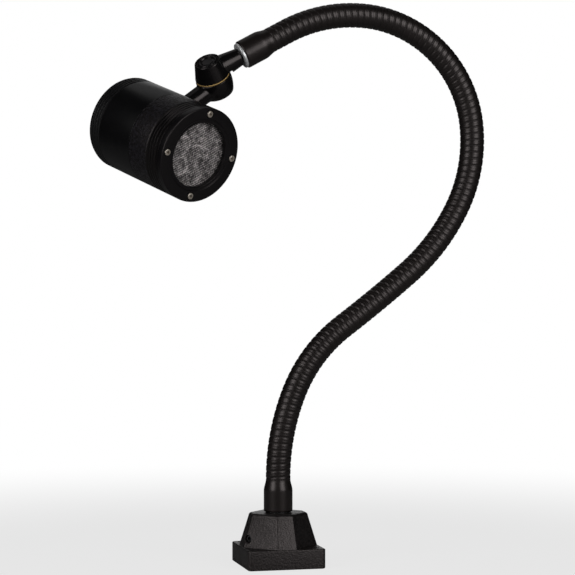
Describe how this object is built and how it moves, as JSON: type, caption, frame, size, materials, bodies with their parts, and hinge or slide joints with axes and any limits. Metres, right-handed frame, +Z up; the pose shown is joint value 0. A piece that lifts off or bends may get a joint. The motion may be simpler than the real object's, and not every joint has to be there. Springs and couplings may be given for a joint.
{
  "type": "examination lamp",
  "caption": "Gooseneck examination lamp: a bolt-down cast base, a ribbed flexible neck, a friction tilt knuckle and a round LED head with a screwed bezel.",
  "frame": {"origin": "middle of the base's flat underside", "axes": "+Z up out of the underside along the foot of the neck, -Y the front that the head shines towards, +X the side that the neck first leans to"},
  "size_m": [0.3327, 0.1211, 0.4625],
  "materials": {
    "cast_paint": "matt black powder coat with a fine grain on a die-cast block",
    "gloss_paint": "glossy black enamel",
    "clamp_paint": "satin black enamel",
    "sheath": "satin black vinyl sheath with shallow ribs",
    "anodised": "smooth black anodised aluminium",
    "anodised_grip": "matt, finely grained black anodised aluminium",
    "anodised_matt": "matt black anodised aluminium",
    "rubber": "matt black rubber",
    "bright_steel": "bright plated steel",
    "stainless": "bright stainless steel",
    "dark_steel": "black oxide steel",
    "brass_washer": "bright brass",
    "bare_aluminium": "plain machined aluminium",
    "board_white": "white circuit board with pale yellow emitters",
    "driver_laminate": "green circuit board",
    "lens_clear": "clear moulded acrylic lenses",
    "window_glass": "clear glass with a fine prismatic pattern on its inner face"
  },
  "bodies": {
    "base": {"base_casting": "cast_paint", "cable_grommet": "rubber", "side_screw": "dark_steel", "lock_screw": "dark_steel", "neck_collar": "gloss_paint", "lower_ferrule": "bright_steel", "neck_foot": "sheath"},
    "link_1": {"neck_link_1": "sheath"},
    "link_2": {"neck_link_2": "sheath"},
    "link_3": {"neck_link_3": "sheath"},
    "link_4": {"neck_link_4": "sheath"},
    "link_5": {"neck_link_5": "sheath"},
    "link_6": {"neck_link_6": "sheath"},
    "link_7": {"neck_link_7": "sheath"},
    "tip": {"neck_tip": "sheath", "upper_ferrule": "bright_steel", "knuckle_upper": "gloss_paint", "clamp_screw": "clamp_paint", "friction_washer": "brass_washer", "spring_washer": "bright_steel", "clamp_nut": "dark_steel"},
    "head": {"knuckle_lower": "gloss_paint", "stem_nut": "bright_steel", "head_body": "anodised", "rear_cover": "anodised", "driver_board": "driver_laminate", "heat_spreader": "bare_aluminium", "led_board": "board_white", "lens_cluster": "lens_clear", "head_front": "anodised_grip", "glass": "window_glass", "glass_seal": "rubber", "bezel": "anodised_matt", "bezel_screw_1": "stainless", "bezel_screw_2": "stainless", "bezel_screw_3": "stainless", "bezel_screw_4": "stainless"}
  },
  "joints": [
    {"name": "neck_bend_1", "type": "hinge", "parent": "base", "child": "link_1", "pos_m": [0.0033, 0, 0.10604], "axis": [0, -1, 0], "range_deg": [-23, 40]},
    {"name": "neck_sway_2", "type": "hinge", "parent": "link_1", "child": "link_2", "pos_m": [0.03037, 0, 0.17044], "axis": [0.7934, 0, -0.6088], "range_deg": [-30, 30]},
    {"name": "neck_bend_3", "type": "hinge", "parent": "link_2", "child": "link_3", "pos_m": [0.08345, 0, 0.21646], "axis": [0, -1, 0], "range_deg": [-40, 40]},
    {"name": "neck_bend_4", "type": "hinge", "parent": "link_3", "child": "link_4", "pos_m": [0.13535, 0, 0.26391], "axis": [0, -1, 0], "range_deg": [-40, 22]},
    {"name": "neck_sway_5", "type": "hinge", "parent": "link_4", "child": "link_5", "pos_m": [0.16582, 0, 0.32673], "axis": [0.9816, 0, -0.1908], "range_deg": [-30, 30]},
    {"name": "neck_bend_6", "type": "hinge", "parent": "link_5", "child": "link_6", "pos_m": [0.15844, 0, 0.39564], "axis": [0, -1, 0], "range_deg": [-40, 4]},
    {"name": "neck_bend_7", "type": "hinge", "parent": "link_6", "child": "link_7", "pos_m": [0.10888, 0, 0.44371], "axis": [0, -1, 0], "range_deg": [-40, 5]},
    {"name": "neck_sway_8", "type": "hinge", "parent": "link_7", "child": "tip", "pos_m": [0.03982, 0, 0.44959], "axis": [-0.2164, 0, 0.9763], "range_deg": [-30, 30]},
    {"name": "knuckle_tilt", "type": "hinge", "parent": "tip", "child": "head", "pos_m": [-0.05441, 0.00227, 0.39895], "axis": [-0.4116, -0.5284, 0.7425], "range_deg": [-95, 75]}
  ]
}
